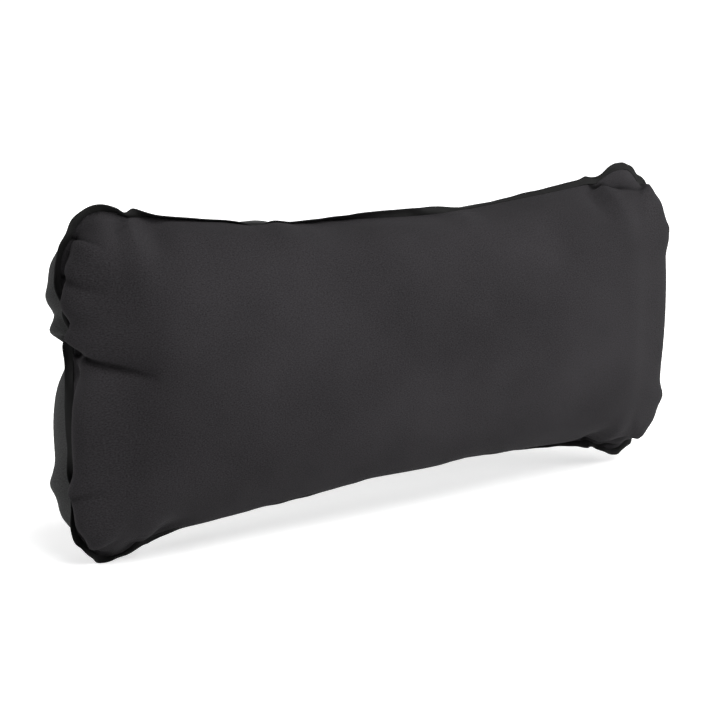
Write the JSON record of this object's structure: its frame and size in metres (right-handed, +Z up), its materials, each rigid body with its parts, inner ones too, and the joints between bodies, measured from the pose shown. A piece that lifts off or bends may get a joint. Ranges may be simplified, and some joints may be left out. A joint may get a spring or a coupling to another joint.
{
  "type": "inflatable camping pillow",
  "caption": "Rectangular inflatable pillow with pinched corners, a dark wavy welded border, a lighter back panel and a recessed valve with a hinged plug, one-way flap and hinged cap.",
  "frame": {"origin": "on the floor, below the middle of the pillow, in the plane of the weld", "axes": "+X along the pillow, +Y from the front face to the back face that holds the valve, +Z up with the pillow standing on a long edge"},
  "size_m": [0.58, 0.1244, 0.2861],
  "materials": {
    "face_cloth": "matt brushed knit",
    "back_cloth": "matt fine weave",
    "weld_film": "satin",
    "patch_film": "satin",
    "valve_body": "satin moulded",
    "valve_lid": "satin moulded",
    "silicone": "matt translucent"
  },
  "bodies": {
    "casing": {"front_panel": "face_cloth", "back_panel": "back_cloth", "perimeter_weld_strip": "weld_film"},
    "valve": {"valve_base": "valve_body", "valve_patch": "patch_film"},
    "deflate_plug": {"deflate_plug": "valve_lid", "plug_seal": "silicone"},
    "check_flap": {"check_flap": "silicone"},
    "inflate_cap": {"inflate_cap": "valve_lid"}
  },
  "joints": [
    {"name": "deflation", "type": "slide", "parent": "casing", "child": "valve", "axis": [0, -1, 0], "range_m": [0, 0.0465], "deforming": ["front_panel", "back_panel"]},
    {"name": "plug_hinge", "type": "hinge", "parent": "valve", "child": "deflate_plug", "pos_m": [0.15, 0.059, 0.1437], "axis": [1, 0, 0], "range_deg": [0, 120]},
    {"name": "flap_lift", "type": "slide", "parent": "deflate_plug", "child": "check_flap", "axis": [0, -1, 0], "range_m": [0, 0.0012], "stiffness_N_per_m": 15},
    {"name": "cap_hinge", "type": "hinge", "parent": "deflate_plug", "child": "inflate_cap", "pos_m": [0.15, 0.0605, 0.1131], "axis": [-1, 0, 0], "range_deg": [0, 150]}
  ]
}
